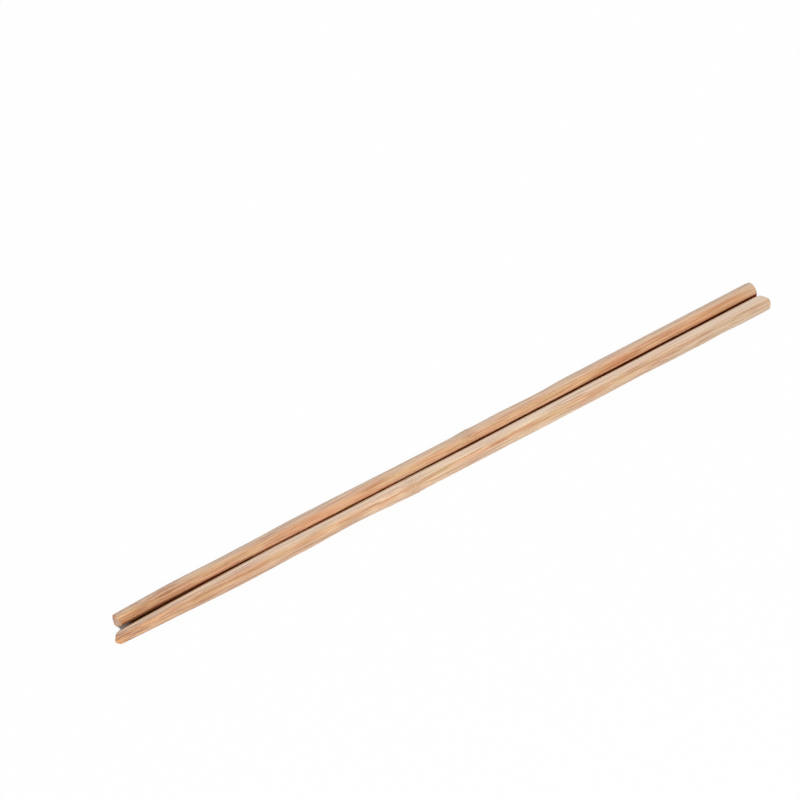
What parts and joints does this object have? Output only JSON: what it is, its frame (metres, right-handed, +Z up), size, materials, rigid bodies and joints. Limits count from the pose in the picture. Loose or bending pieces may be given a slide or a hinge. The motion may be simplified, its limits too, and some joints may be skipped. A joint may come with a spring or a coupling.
{
  "type": "pair of bamboo chopsticks",
  "caption": "Loose pair of slim bamboo chopsticks with softly bevelled eight-sided sections, narrowed tips and slant-cut ends, lying side by side.",
  "frame": {"origin": "middle of the pair's underside, on the surface that both sticks lie on", "axes": "+X along the sticks from tips to heads, +Y from the front stick to the back stick, +Z up"},
  "size_m": [0.2303, 0.0116, 0.0048],
  "materials": {
    "front_bamboo": "planed carbonised bamboo, matt",
    "back_bamboo": "planed carbonised bamboo, matt"
  },
  "bodies": {
    "root": {"front_chopstick": "front_bamboo", "back_chopstick": "back_bamboo"}
  },
  "joints": []
}
